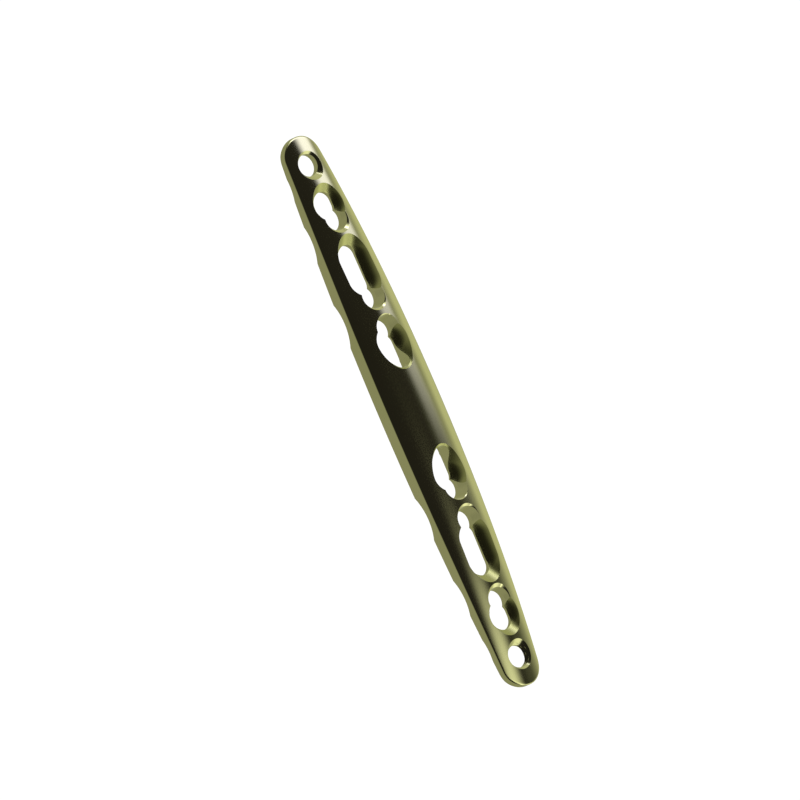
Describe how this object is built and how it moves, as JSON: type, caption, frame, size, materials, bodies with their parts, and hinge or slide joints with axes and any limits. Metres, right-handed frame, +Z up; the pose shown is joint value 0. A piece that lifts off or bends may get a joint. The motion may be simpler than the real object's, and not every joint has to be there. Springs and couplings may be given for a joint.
{
  "type": "orthopedic bone plate",
  "caption": "Slim crowned bone plate that narrows to two round ends, with a locking hole at each end, combination holes with slots between, and a hollow underside.",
  "frame": {"origin": "on the surface the plate lies on, under the middle of the plate", "axes": "+X along the plate, +Y across it, +Z up out of the crowned face that the screws go in from"},
  "size_m": [0.11, 0.0128, 0.0055],
  "materials": {
    "plate": null
  },
  "bodies": {
    "root": {"plate": "plate"}
  },
  "joints": []
}
